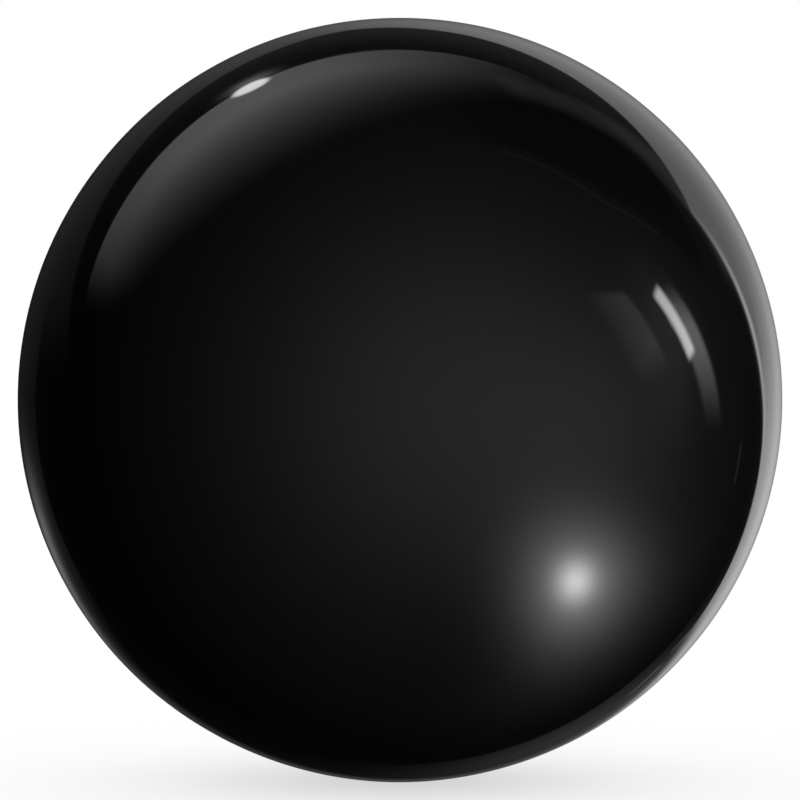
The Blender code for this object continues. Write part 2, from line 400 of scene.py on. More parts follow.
# ------------------------------------------------------------------ meshes


def swept(outline, steps, shape):
    """Points of an outline turned about +Y, moved by shape, and the faces between them."""
    rows = np.array(outline)
    turns = np.arange(steps) * math.tau / steps
    r = rows[:, :1]
    heights = np.repeat(rows[:, 1:], steps, axis=1)
    points = np.stack([r * np.cos(turns), heights, r * np.sin(turns)], axis=-1)
    if shape:
        points = shape(points)
    single = rows[:, 0] < ON_AXIS
    vertices = []
    index = np.zeros((len(rows), steps), int)
    for row in range(len(rows)):
        start = len(vertices)
        if single[row]:
            index[row] = start
            vertices.append(points[row, 0])
        else:
            index[row] = start + np.arange(steps)
            vertices.extend(points[row])
    faces = []
    for row in range(len(rows)):
        following = (row + 1) % len(rows)
        if single[row] and single[following]:
            continue
        here = index[row]
        there = index[following]
        for first, second in zip(range(steps), np.roll(np.arange(steps), -1)):
            corners = (here[first], here[second], there[second], there[first])
            faces.append(tuple(dict.fromkeys(int(corner) for corner in corners)))
    return vertices, faces


def turned(name, outline, steps, shape=None):
    """Object made by turning a closed outline of (r, height) points about the valve axis."""
    rolled = zip(outline, outline[1:] + outline[:1])
    if sum(first[0] * second[1] - second[0] * first[1] for first, second in rolled) > 0:
        outline = outline[::-1]
    vertices, faces = swept(outline, steps, shape)
    mesh = bpy.data.meshes.new(name)
    mesh.from_pydata([tuple(vertex) for vertex in vertices], [], faces)
    mesh.validate()
    mesh.shade_smooth()
    mesh.set_sharp_from_angle(angle=SHARP_EDGE)
    piece = bpy.data.objects.new(name, mesh)
    bpy.context.scene.collection.objects.link(piece)
    return piece


def smoothstep(values, start, end):
    """Smooth rise from 0 at start to 1 at end, for arrays."""
    share = np.clip((values - start) / (end - start), 0.0, 1.0)
    return share * share * (3.0 - 2.0 * share)


def finished(piece, material, body, node):
    """Give a piece its material and body, and let it stand for a CAD node."""
    piece.data.materials.append(material)
    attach(piece, body)
    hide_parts(node)
    return piece


# ------------------------------------------------------------------ node arithmetic


class Value:
    """A number in a node tree. Arithmetic with it adds Math nodes to the tree."""

    def __init__(self, tree, socket):
        self.tree = tree
        self.socket = socket

    def __add__(self, other):
        return combine("ADD", self, other)

    def __radd__(self, other):
        return combine("ADD", other, self)

    def __sub__(self, other):
        return combine("SUBTRACT", self, other)

    def __rsub__(self, other):
        return combine("SUBTRACT", other, self)

    def __mul__(self, other):
        return combine("MULTIPLY", self, other)

    def __rmul__(self, other):
        return combine("MULTIPLY", other, self)

    def __truediv__(self, other):
        return combine("DIVIDE", self, other)

    def __pow__(self, other):
        return combine("POWER", self, other)


def feed(tree, socket, term):
    """Link a Value to a socket, or set a plain number on it."""
    if isinstance(term, Value):
        tree.links.new(term.socket, socket)
    else:
        socket.default_value = term


def combine(operation, *terms):
    """Result of one Math node on numbers and Values."""
    tree = next(term.tree for term in terms if isinstance(term, Value))
    node = tree.nodes.new("ShaderNodeMath")
    node.operation = operation
    for socket, term in zip(node.inputs, terms):
        feed(tree, socket, term)
    return Value(tree, node.outputs[0])


def ramp(value, start, end):
    """Smooth rise from 0 where the value is start to 1 where it is end."""
    node = value.tree.nodes.new("ShaderNodeMapRange")
    node.interpolation_type = "SMOOTHSTEP"
    for name, term in (("Value", value), ("From Min", start), ("From Max", end)):
        feed(value.tree, node.inputs[name], term)
    return Value(value.tree, node.outputs["Result"])


def exponential(value):
    return combine("EXPONENT", value)


def root(value):
    return combine("SQRT", value)


def largest(first, second):
    return combine("MAXIMUM", first, second)


# ------------------------------------------------------------------ materials


class Rubber:
    """A Principled material whose patterns are fixed to the piece, with sizes in metres."""

    def __init__(self, name):
        self.material = bpy.data.materials.new(name)
        self.material.use_nodes = True
        self.tree = self.material.node_tree
        self.shader = self.tree.nodes["Principled BSDF"]
        self.place = self.tree.nodes.new("ShaderNodeTexCoord").outputs["Object"]

    def scaled(self, size, stretch, shift):
        """The piece's own coordinates in units of a pattern's size along each axis."""
        node = self.tree.nodes.new("ShaderNodeMapping")
        node.inputs["Scale"].default_value = [1.0 / (size * factor) for factor in stretch]
        node.inputs["Location"].default_value = (shift, shift, shift)
        self.tree.links.new(self.place, node.inputs["Vector"])
        return node.outputs["Vector"]

    def grain(self, size, stretch=(1.0, 1.0, 1.0), shift=0.0, detail=2.0):
        """Cloudy noise from 0 to 1 with features of about this size."""
        node = self.tree.nodes.new("ShaderNodeTexNoise")
        node.inputs["Scale"].default_value = 1.0
        node.inputs["Detail"].default_value = detail
        self.tree.links.new(self.scaled(size, stretch, shift), node.inputs["Vector"])
        return Value(self.tree, node.outputs[0])

    def coordinates(self):
        """The piece's own x, y and z as Values."""
        node = self.tree.nodes.new("ShaderNodeSeparateXYZ")
        self.tree.links.new(self.place, node.inputs["Vector"])
        return [Value(self.tree, socket) for socket in node.outputs]

    def colour(self, dark, light, share):
        """Blend the base colour between two linear colours."""
        node = self.tree.nodes.new("ShaderNodeMix")
        node.data_type = "RGBA"
        colours = [socket for socket in node.inputs if socket.type == "RGBA"]
        for socket, tint in zip(colours, (dark, light)):
            socket.default_value = (*tint, 1.0)
        feed(self.tree, node.inputs[0], share)
        result = next(socket for socket in node.outputs if socket.type == "RGBA")
        self.tree.links.new(result, self.shader.inputs["Base Color"])

    def roughness(self, value):
        feed(self.tree, self.shader.inputs["Roughness"], value)

    def relief(self, height):
        """Bump the surface by a height in metres."""
        node = self.tree.nodes.new("ShaderNodeBump")
        node.inputs["Strength"].default_value = 1.0
        node.inputs["Distance"].default_value = 1.0
        feed(self.tree, node.inputs["Height"], height)
        self.tree.links.new(node.outputs["Normal"], self.shader.inputs["Normal"])

    def fixed(self, **levels):
        """Set shader levels that are the same all over."""
        for name, level in levels.items():
            self.shader.inputs[name.replace("_", " ")].default_value = level


def grey(level, warmth=0.0):
    """Linear colour of a grey, a little redder and less blue by its warmth."""
    return (level * (1.0 + warmth), level, level * (1.0 - warmth))


def cover_rubber():
    """High-gloss black: a slightly cloudy polish, faint wipe marks and a breath of orange peel."""
    rubber = Rubber("cover_rubber")
    cloudy = ramp(rubber.grain(13 * MM, detail=3.0), 0.45, 0.75)
    wiped = ramp(rubber.grain(0.5 * MM, stretch=(18.0, 1.0, 7.0), shift=3.0), 0.6, 0.8)
    peel = rubber.grain(1.7 * MM, shift=5.0)
    rubber.colour(grey(0.0008), grey(0.0016), rubber.grain(5 * MM, shift=9.0))
    rubber.roughness(0.03 + 0.03 * cloudy + 0.025 * wiped)
    rubber.relief(0.0006 * MM * peel + 0.0003 * MM * wiped)
    rubber.fixed(Coat_Weight=0.03, Coat_Roughness=0.25)
    return rubber.material


def moulded_rubber(name, level, rough):
    """Satin moulded rubber: mould grain, the rings of a turned mould and a little bloom."""
    rubber = Rubber(name)
    x, _, z = rubber.coordinates()
    rings = combine("SINE", root(x * x + z * z) * (math.tau / MOULD_RING))
    bloom = ramp(rubber.grain(2.4 * MM, detail=4.0), 0.48, 0.8)
    worn = ramp(rubber.grain(0.9 * MM, shift=4.0), 0.5, 0.75)
    rubber.colour(grey(level), grey(2 * level, 0.02), bloom)
    rubber.roughness(rough + 0.12 * bloom - 0.06 * worn)
    rubber.relief(0.0012 * MM * rings + 0.004 * MM * rubber.grain(0.16 * MM, shift=2.0))
    return rubber.material


def carcass_rubber():
    """Matt black stock, buffed round the ball so that cement holds."""
    rubber = Rubber("carcass_rubber")
    buffed = rubber.grain(0.35 * MM, stretch=(6.0, 1.0, 6.0), detail=4.0)
    dusty = ramp(rubber.grain(9 * MM, shift=2.0, detail=3.0), 0.5, 0.8)
    rubber.colour(grey(0.022), grey(0.06, 0.03), 0.5 * buffed + 0.5 * dusty)
    rubber.roughness(0.68 + 0.2 * buffed)
    rubber.relief(0.03 * MM * buffed)
    return rubber.material


def seam_tape_rubber():
    """Tan gum tape with a woven backing."""
    rubber = Rubber("seam_tape_rubber")
    x, y, z = rubber.coordinates()
    thread = math.tau / TAPE_THREAD
    round_it = combine("SINE", combine("ARCTAN2", z, x) * (TAPE_R * thread))
    along_it = combine("SINE", y * thread)
    weave = round_it * along_it * 0.5 + 0.5
    stain = ramp(rubber.grain(6 * MM, detail=3.0), 0.4, 0.75)
    rubber.colour((0.30, 0.17, 0.065), (0.50, 0.33, 0.16), 0.6 * weave + 0.4 * stain)
    rubber.roughness(0.62 + 0.16 * weave)
    rubber.relief(0.05 * MM * weave + 0.008 * MM * rubber.grain(0.2 * MM))
    return rubber.material


def bladder_rubber():
    """Satin butyl with grey bloom and traces of mould talc."""
    rubber = Rubber("bladder_rubber")
    bloom = ramp(rubber.grain(7 * MM, detail=4.0), 0.42, 0.72)
    talc = ramp(rubber.grain(1.3 * MM, shift=6.0, detail=5.0), 0.6, 0.8)
    rubber.colour(grey(0.014), grey(0.09), 0.35 * bloom + 0.5 * talc)
    rubber.roughness(0.4 + 0.14 * bloom + 0.2 * talc)
    rubber.relief(0.01 * MM * rubber.grain(0.6 * MM, shift=1.0))
    return rubber.material


def patch_rubber():
    """Grey reinforcing rubber with the print of the cloth it was rolled in."""
    rubber = Rubber("patch_rubber")
    x, _, z = rubber.coordinates()
    thread = math.tau / PATCH_THREAD
    weave = combine("SINE", x * thread) * combine("SINE", z * thread) * 0.5 + 0.5
    mottled = rubber.grain(2.5 * MM, detail=3.0)
    rubber.colour(grey(0.06, 0.04), grey(0.13, 0.04), 0.5 * weave + 0.5 * mottled)
    rubber.roughness(0.7 + 0.12 * weave)
    rubber.relief(0.03 * MM * weave)
    return rubber.material


def core_rubber():
    """Soft grey gum, wet with the oil that lets the needle in."""
    rubber = Rubber("core_rubber")
    oily = ramp(rubber.grain(1.8 * MM, detail=3.0), 0.4, 0.7)
    rubber.colour((0.12, 0.11, 0.10), (0.20, 0.19, 0.17), rubber.grain(0.8 * MM, shift=3.0))
    rubber.roughness(0.46 - 0.24 * oily)
    rubber.relief(0.006 * MM * rubber.grain(0.4 * MM, shift=7.0))
    rubber.fixed(Subsurface_Weight=0.12, Subsurface_Scale=0.5 * MM)
    return rubber.material


# ------------------------------------------------------------------ pieces


def waves(points):
    """Move points in and out a little, as an inflated skin is never a perfect sphere."""
    draw = np.random.default_rng(WAVE_SEED)
    lift = np.zeros(points.shape[:2])
    for _ in range(WAVE_COUNT):
        heading = draw.normal(size=3)
        length = draw.uniform(SHORT_WAVE, LONG_WAVE)
        along = points @ (heading / np.linalg.norm(heading))
        lift += WAVE_HEIGHT * np.sin(along * math.tau / length + draw.uniform(0.0, math.tau))
    distance = np.linalg.norm(points, axis=2)
    return points * (1.0 + lift / distance)[..., None]


def tacky_cover():
    """The seamless glossy skin, with a rolled mouth, a bead and a groove round the valve."""
    mouth_r = HEAD_R + MOUTH_GAP
    inner_r = BALL_R - COVER_WALL
    rings = (
        ring(angle_at_radius(BALL_R, BEAD_R), BEAD_WIDTH, BEAD_HEIGHT),
        ring(angle_at_radius(BALL_R, GROOVE_R), GROOVE_WIDTH, -GROOVE_DEPTH),
        ring(math.pi / 2, PARTING_WIDTH, PARTING_HEIGHT),
    )
    outer = plain(arc(BALL_R, angle_at_radius(BALL_R, mouth_r), math.pi, COVER_EDGE, rings))
    inner = plain(arc(inner_r, math.pi, angle_at_radius(inner_r, HEAD_R + GAP), WALL_EDGE))
    outer[0] = (*outer[0][:2], MOUTH_FILLET)
    piece = turned("tacky_cover", smoothed(outer + inner, COVER_EDGE * 2), COVER_STEPS, waves)
    finished(piece, cover_rubber(), "ball", "grip_cover")


def lap_radii():
    """Radii of the lap's faces: the groove's wall, the inner tongue and the outer tongue."""
    groove = TAPE_R + GAP
    tongue = (CARCASS_R - groove - GAP) / 2
    return groove, groove + tongue, CARCASS_R - tongue


def front_carcass(material):
    """The half of the carcass away from the valve, with the lap's outer tongue."""
    groove_r, _, tongue_r = lap_radii()
    tip = top("carcass_front_half")
    shelf = -LAP_HALF_LENGTH - GAP / 2
    groove_end = -top("seam_tape") - GAP
    outer = arc(CARCASS_R, angle_at_height(CARCASS_R, tip), math.pi, WALL_EDGE)
    inner = arc(CARCASS_INNER_R, math.pi, angle_at_height(CARCASS_INNER_R, groove_end), WALL_EDGE)
    step = [(groove_r, groove_end), (groove_r, shelf), (tongue_r, shelf), (tongue_r, tip)]
    outline = plain(outer + inner) + [(r, height, SHELL_FILLET) for r, height in step]
    piece = turned("front_carcass", smoothed(outline, WALL_EDGE), WALL_STEPS)
    finished(piece, material, "ball", "carcass_front_half")


def valve_side_carcass(material):
    """The half of the carcass round the valve, with the lap's inner tongue."""
    groove_r, tongue_r, _ = lap_radii()
    tip = foot("carcass_valve_half")
    shelf = LAP_HALF_LENGTH + GAP / 2
    groove_end = top("seam_tape") + GAP
    recess_r = CARCASS_INNER_R + PATCH_THICKNESS + GAP
    recess_edge = reach("valve_patch") + GAP
    hole = angle_at_radius(CARCASS_R, WALL_HOLE_R)
    outer = arc(CARCASS_R, hole, angle_at_height(CARCASS_R, shelf), WALL_EDGE)
    step = [(tongue_r, shelf), (tongue_r, tip), (groove_r, tip), (groove_r, groove_end)]
    groove_angle = angle_at_height(CARCASS_INNER_R, groove_end)
    inner = arc(CARCASS_INNER_R, groove_angle, angle_at_radius(CARCASS_INNER_R, recess_edge), WALL_EDGE)
    recess_hole = angle_at_radius(recess_r, WALL_HOLE_R)
    recess = arc(recess_r, angle_at_radius(recess_r, recess_edge), recess_hole, WALL_EDGE)
    stepped = [(r, height, SHELL_FILLET) for r, height in step]
    outline = plain(outer) + stepped + plain(inner + recess)
    piece = turned("valve_side_carcass", smoothed(outline, WALL_EDGE), WALL_STEPS)
    finished(piece, material, "ball", "carcass_valve_half")


def pinked(points):
    """Cut the tape's two edges into small teeth."""
    turn = np.arctan2(points[..., 2], points[..., 0])
    tooth = np.abs((turn * TAPE_TEETH / math.tau) % 1.0 - 0.5) * 2.0
    half_width = top("seam_tape")
    near_edge = smoothstep(np.abs(points[..., 1]), half_width * TAPE_UNCUT_SHARE, half_width)
    points[..., 1] *= 1.0 - near_edge * tooth * TAPE_TOOTH / half_width
    return points


def lap_tape():
    """The band bonded over the lap joint, in the groove on the carcass's inside."""
    edge = angle_at_height(TAPE_R, top("seam_tape"))
    outer = arc(TAPE_R, edge, math.pi - edge, WALL_EDGE / 2)
    inner = arc(CARCASS_INNER_R, math.pi - edge, edge, WALL_EDGE / 2)
    outline = smoothed(plain(outer + inner), WALL_EDGE)
    piece = turned("lap_tape", outline, TAPE_TEETH * TAPE_TOOTH_STEPS, pinked)
    finished(piece, seam_tape_rubber(), "ball", "seam_tape")


def air_bladder():
    """The thin airtight liner, with a low ridge from its mould."""
    ridge = (ring(math.pi / 2, LINER_RIDGE_WIDTH, LINER_RIDGE_HEIGHT),)
    outer = arc(LINER_R, angle_at_radius(LINER_R, WALL_HOLE_R), math.pi, WALL_EDGE, ridge)
    hole = angle_at_radius(LINER_INNER_R, WALL_HOLE_R)
    inner = arc(LINER_INNER_R, math.pi, hole, WALL_EDGE)
    piece = turned("air_bladder", smoothed(plain(outer + inner), WALL_EDGE), WALL_STEPS)
    finished(piece, bladder_rubber(), "ball", "bladder")


def wall_patch():
    """The disc that stiffens the wall round the valve, feathered towards its edge."""
    outer_r = CARCASS_INNER_R + PATCH_THICKNESS
    edge_r = CARCASS_INNER_R + PATCH_EDGE
    patch_r = reach("valve_patch")
    crown = angle_at_radius(outer_r, patch_r - PATCH_FEATHER)
    outer = arc(outer_r, angle_at_radius(outer_r, WALL_HOLE_R), crown, WALL_EDGE / 2)
    edge = [(patch_r, height_on(edge_r, patch_r))]
    rim = angle_at_radius(CARCASS_INNER_R, patch_r)
    inner = arc(CARCASS_INNER_R, rim, angle_at_radius(CARCASS_INNER_R, WALL_HOLE_R), WALL_EDGE / 2)
    outline = smoothed(plain(outer + edge + inner), WALL_EDGE / 2)
    piece = turned("wall_patch", outline, WALL_STEPS)
    finished(piece, patch_rubber(), "ball", "valve_patch")


def notched(points):
    """Press two round-ended fingernail notches into the housing's head."""
    x = np.abs(points[..., 0])
    z = np.abs(points[..., 2])
    beyond_x = np.maximum(x - (NOTCH_REACH_R - NOTCH_CORNER), 0.0)
    beyond_z = np.maximum(z - (NOTCH_HALF_WIDTH - NOTCH_CORNER), 0.0)
    outside = np.hypot(beyond_x, beyond_z) - NOTCH_CORNER
    pressed = smoothstep(outside, NOTCH_EDGE / 2, -NOTCH_EDGE / 2)
    height = points[..., 1]
    share = (height - SEAT_FLOOR) / (top("valve_housing") - SEAT_FLOOR)
    above = (height > SEAT_FLOOR) & (np.hypot(x, z) < HEAD_R - THIN_EDGE)
    points[..., 1] = np.where(above, height - NOTCH_DEPTH * pressed * share, height)
    return points


def valve_body():
    """The soft housing: a beaded head flush with the cover, a shank, a flange and a stem."""
    crown = top("valve_housing")
    head_floor = crown - HEAD_THICKNESS
    flange_r = reach("valve_housing")
    flange_inner_r = FLANGE_OUTER_R - FLANGE_THICKNESS
    stem_end = foot("valve_housing")
    chamber_floor = stem_end + STEM_LIP
    chamber_r = reach("valve_core") + GAP
    chamber_top = top("valve_core") + GAP
    shank = angle_at_radius(FLANGE_OUTER_R, SHANK_R)
    upper = arc(FLANGE_OUTER_R, shank, angle_at_radius(FLANGE_OUTER_R, flange_r), VALVE_EDGE * 2)
    stem = angle_at_radius(flange_inner_r, STEM_R)
    lower = arc(flange_inner_r, angle_at_radius(flange_inner_r, flange_r), stem, VALVE_EDGE * 2)
    bead = [(HEAD_BEAD_R + offset, crown + lift, 0.0) for offset, lift in head_bead()]
    outline = [
        (SEAT_R, crown, THIN_EDGE),
        *bead,
        (HEAD_R, crown, SOFT_EDGE),
        (HEAD_R, head_floor, THIN_EDGE),
        (SHANK_R, head_floor, THIN_EDGE),
        *plain(upper + lower),
        (STEM_R, stem_end, SOFT_EDGE),
        (NEEDLE_R, stem_end, THIN_EDGE),
        (NEEDLE_R, chamber_floor, 0.0),
        (chamber_r, chamber_floor, 0.0),
        (chamber_r, chamber_top, 0.0),
        (PASSAGE_R, chamber_top, 0.0),
        (PASSAGE_R, SEAT_FLOOR, THIN_EDGE),
        (SEAT_R, SEAT_FLOOR, THIN_EDGE),
    ]
    piece = turned("valve_body", smoothed(outline, VALVE_EDGE), VALVE_STEPS, notched)
    material = moulded_rubber("valve_rubber", **VALVE_RUBBER)
    finished(piece, material, "ball", "valve_housing")


def head_bead():
    """Offsets and heights of the low bead round the housing's head."""
    offsets = np.linspace(-HEAD_BEAD_WIDTH, HEAD_BEAD_WIDTH, FILLET_STEPS * 2 + 1)
    return [(x, HEAD_BEAD_HEIGHT * math.cos(math.pi / 2 * x / HEAD_BEAD_WIDTH) ** 2) for x in offsets]


def pinched(points):
    """Flatten the core's hole to a slit, fully at the slit's radius and not at the rim."""
    distance = np.hypot(points[..., 0], points[..., 2])
    open_share = smoothstep(distance, CORE_SLIT_R, CORE_FUNNEL_R)
    points[..., 2] *= CORE_SLIT_PINCH + (1.0 - CORE_SLIT_PINCH) * open_share
    return points


def sealing_core():
    """The self-sealing insert, whose funnel leads the needle to its slit."""
    crown = top("valve_core")
    floor = foot("valve_core")
    core_r = reach("valve_core")
    outline = [
        (CORE_FUNNEL_R, crown, THIN_EDGE),
        (core_r, crown, SOFT_EDGE),
        (core_r, floor, SOFT_EDGE),
        (CORE_SLIT_R, floor, 0.0),
        (CORE_SLIT_R, crown - CORE_FUNNEL_DEPTH, 0.0),
    ]
    piece = turned("sealing_core", smoothed(outline, VALVE_EDGE * 2), WALL_STEPS // 2, pinched)
    finished(piece, core_rubber(), "ball", "valve_core")


def pull_plug():
    """The push-in plug: a dished head with its moulding mark, and a ribbed round-ended stem."""
    crown = top("valve_plug")
    head_r = reach("valve_plug")
    head_floor = crown - PLUG_HEAD_THICKNESS
    shoulder = foot("valve_plug") + PLUG_STEM_R
    face = []
    for r in np.arange(0.0, PLUG_DISH_R, VALVE_EDGE / 2):
        dish = PLUG_DISH_DEPTH * math.cos(math.pi / 2 * r / PLUG_DISH_R) ** 2
        gate = PLUG_GATE_HEIGHT * math.exp(-((r / PLUG_GATE_R) ** 4))
        face.append((r, crown - dish + gate))
    stem = []
    for share in np.linspace(0.0, 1.0, PLUG_RIBS * PLUG_RIB_STEPS + 1)[1:]:
        rib = PLUG_RIB_HEIGHT * math.sin(math.pi * PLUG_RIBS * share) ** 2
        stem.append((PLUG_STEM_R + rib, head_floor + (shoulder - head_floor) * share))
    turns = np.linspace(0.0, math.pi / 2, FILLET_STEPS * 2 + 1)[1:]
    tip = [(PLUG_STEM_R * math.cos(turn), shoulder - PLUG_STEM_R * math.sin(turn)) for turn in turns]
    outline = [
        *plain(face),
        (head_r, crown, SOFT_EDGE),
        (head_r, head_floor + PLUG_CHAMFER, THIN_EDGE),
        (head_r - PLUG_CHAMFER, head_floor, THIN_EDGE),
        (PLUG_STEM_R, head_floor, 0.0),
        *plain(stem + tip),
    ]
    piece = turned("pull_plug", smoothed(outline, VALVE_EDGE), VALVE_STEPS)
    material = moulded_rubber("plug_rubber", **PLUG_RUBBER)
    finished(piece, material, "plug", "valve_plug")


# ------------------------------------------------------------------ studio light


def aim(place):
    """Unit vector towards a place round the ball."""
    azimuth = math.radians(place[0])
    elevation = math.radians(place[1])
    level = math.cos(elevation)
    return Vector((math.sin(azimuth) * level, -math.cos(azimuth) * level, math.sin(elevation)))


def dot(direction, vector):
    """Dot product of the direction and a fixed vector."""
    node = direction.tree.nodes.new("ShaderNodeVectorMath")
    node.operation = "DOT_PRODUCT"
    direction.tree.links.new(direction.socket, node.inputs[0])
    node.inputs[1].default_value = vector
    return Value(direction.tree, node.outputs["Value"])


def off(direction, place):
    """Angle in degrees between the direction and a place."""
    return combine("ARCCOSINE", dot(direction, aim(place))) * math.degrees(1.0)


def lean(direction, vector):
    """Angle in degrees by which the direction leans out of a plane, towards its normal."""
    return combine("ARCSINE", dot(direction, vector)) * math.degrees(1.0)


def rise(direction):
    """Elevation of the direction in degrees."""
    return lean(direction, Vector((0.0, 0.0, 1.0)))


def ahead(direction, place):
    """1 on a place's own side of the ball, and 0 on the far side."""
    return ramp(dot(direction, aim(place)), *AHEAD_FADE)


def inside(direction, circle, softness):
    """1 inside a circle, falling to 0 at its edge."""
    centre, angle = circle
    return ramp(off(direction, centre), angle, angle - softness)


def beside(direction, place, tilt):
    """Degrees to the right of a place and above it, both turned by a tilt."""
    azimuth = math.radians(place[0])
    right = Vector((math.cos(azimuth), math.sin(azimuth), 0.0))
    up = right.cross(aim(place)) * -1.0
    cosine = math.cos(math.radians(tilt))
    sine = math.sin(math.radians(tilt))
    return lean(direction, right * cosine + up * sine), lean(direction, up * cosine - right * sine)


def left_of(direction, start, end):
    """Degrees to the left of the line from one place to another."""
    return lean(direction, aim(end).cross(aim(start)).normalized())


def bar(direction, start, end, half_width, softness):
    """A straight bar of light between two places, soft all round."""
    normal = aim(start).cross(aim(end)).normalized()
    across = combine("ABSOLUTE", lean(direction, normal))
    past_start = lean(direction, normal.cross(aim(start)))
    before_end = lean(direction, aim(end).cross(normal))
    along = ramp(past_start, -softness, softness) * ramp(before_end, -softness, softness)
    return ramp(across, half_width + softness, half_width - softness) * along * ahead(direction, start)


def patch(direction, place, size, radiance):
    """A soft oval patch of light."""
    x, y = beside(direction, place, 0.0)
    spread = (x / size[0]) ** 2.0 + (y / size[1]) ** 2.0
    return radiance * exponential(-1.0 * spread) * ahead(direction, place)


def room(direction):
    """The dark room, with a broad fill from the front right."""
    away = off(direction, FILL_PLACE)
    distance = root(away * away + FILL_CORE**2)
    fill = FILL_RADIANCE * exponential((FILL_CORE - distance) / FILL_DECAY)
    dimmer = 1.0 - ABOVE_DIMMING * above_panel(direction)
    return DARK_ROOM + fill * ramp(away, *FILL_REACH) * dimmer


def above_panel(direction):
    """1 in the dimmer part of the fill, beyond the top of the panel on the right."""
    near = ramp(off(direction, ABOVE_PLACE), *ABOVE_REACH) * ramp(rise(direction), *ABOVE_FOOT)
    for start, end in zip(PANEL_TOP, PANEL_TOP[1:]):
        near = near * ramp(left_of(direction, start, end), *ABOVE_FADE)
    return near


def panel(direction):
    """The dim panel on the right, with a faint light along its top."""
    lit = patch(direction, **PANEL)
    for start, end in zip(PANEL_TOP, PANEL_TOP[1:]):
        edge = bar(direction, start, end, PANEL_TOP_HALF_WIDTH, PANEL_TOP_SOFTNESS)
        lit = lit + PANEL_TOP_RADIANCE * edge
    return lit


def softbox(direction):
    """The large softbox above and behind on the left, a little dimmer towards its frame."""
    glow = ramp(off(direction, SOFTBOX_PLACE), *SOFTBOX_SPREAD)
    centre, angle = SOFTBOX_FRAME
    shade = SOFTBOX_SHADE * ramp(off(direction, centre), angle + SOFTBOX_SHADE_REACH, angle)
    return SOFTBOX_RADIANCE * glow * (1.0 - shade) * ramp(rise(direction), *SOFTBOX_FOOT)


def cloth(direction):
    """A dim length of cloth that hangs down to the right of the softbox."""
    return CLOTH_RADIANCE * bar(direction, CLOTH_FROM, CLOTH_TO, CLOTH_HALF_WIDTH, CLOTH_SOFTNESS)


def spot(direction):
    """The small hot lamp on the softbox's frame, and its glow."""
    return SPOT_RADIANCE * inside(direction, SPOT, SPOT_SOFTNESS) + patch(direction, **SPOT_GLOW)


def overhead(direction):
    """The softbox down to its frame, what is seen under it, the lamp on it and the cloth beside it."""
    framed = inside(direction, SOFTBOX_FRAME, FRAME_SOFTNESS)
    lit = softbox(direction) * (1.0 - framed) + patch(direction, **UNDER_CARD) * framed
    return lit + spot(direction) + cloth(direction)


def backdrop(direction):
    """The backdrop behind the ball on the right, with a brighter band near its foot."""
    height = (rise(direction) - BAND_ELEVATION) / BAND_SPREAD
    lit = BACKDROP_RADIANCE + BAND_RADIANCE * exponential(-1.0 * height * height)
    tilt = math.radians(BACKDROP_FOOT_TILT)
    foot_height = lean(direction, Vector((math.sin(tilt), 0.0, math.cos(tilt))))
    right = ramp(off(direction, RIGHT), *BACKDROP_RIGHT)
    shape = inside(direction, BACKDROP_TOP, BACKDROP_SOFTNESS) * right
    return lit * shape * ramp(foot_height, *BACKDROP_FOOT)


def far_wall(direction):
    """The wall that the backdrop stands against, dimmer the further round to the left."""
    x = dot(direction, Vector((1.0, 0.0, 0.0)))
    z = dot(direction, Vector((0.0, 0.0, 1.0)))
    turn = combine("ABSOLUTE", combine("ARCTAN2", z, x)) * math.degrees(1.0)
    lit = FAR_WALL_RADIANCE * exponential(largest(turn - FAR_WALL_TURN, 0.0) / -FAR_WALL_FADE)
    under_left = inside(direction, FAR_WALL_TOP, BACKDROP_SOFTNESS)
    under_right = inside(direction, BACKDROP_TOP, BACKDROP_SOFTNESS)
    near = inside(direction, CARD_EDGE, CARD_SOFTNESS)
    bounds = largest(under_left, under_right) * largest(near, ramp(rise(direction), *FAR_WALL_LOW))
    return lit * bounds * ramp(rise(direction), *FAR_WALL_FOOT)


def backdrop_edge(direction):
    """The bright edge along the backdrop's side."""
    centre, angle = BACKDROP_SIDE
    across = (off(direction, centre) - (angle - EDGE_WIDTH)) / EDGE_WIDTH
    along = off(direction, EDGE_PLACE) / EDGE_LENGTH
    return EDGE_RADIANCE * exponential(-1.0 * (across * across + along * along))


def cards(direction):
    """Two dim cards low behind the ball, both cut off at the same distance from its back."""
    lit = patch(direction, **LEFT_CARD) + patch(direction, **LOW_CARD)
    return lit * inside(direction, CARD_EDGE, CARD_SOFTNESS)


def rods(direction):
    """Thin rods low on the right, which show as faint dashes near the rim."""
    lit = 0.0
    for start, end, radiance in RODS:
        lit = lit + radiance * bar(direction, start, end, ROD_HALF_WIDTH, ROD_SOFTNESS)
    return lit


def behind(direction):
    """Everything behind the ball, dimmer straight behind it."""
    wall = (backdrop(direction) + far_wall(direction)) * inside(direction, BACKDROP_SIDE, BACKDROP_SOFTNESS)
    hollow = 1.0 - HOLLOW_DEPTH * ramp(off(direction, BEHIND), *HOLLOW_SPREAD)
    return (wall + backdrop_edge(direction) + cards(direction) + rods(direction)) * hollow


def strip(direction):
    """The strip light on the right with its glow, and the wider, dimmer shade beside and below it."""
    lit = bar(direction, STRIP_FROM, STRIP_TO, STRIP_HALF_WIDTH, STRIP_SOFTNESS)
    shade = bar(direction, SHADE_FROM, SHADE_TO, SHADE_HALF_WIDTH, SHADE_SOFTNESS)
    faded = shade * ramp(rise(direction), *SHADE_FOOT) * ramp(rise(direction), *SHADE_TOP)
    return STRIP_RADIANCE * lit + SHADE_RADIANCE * faded + patch(direction, **STRIP_GLOW)


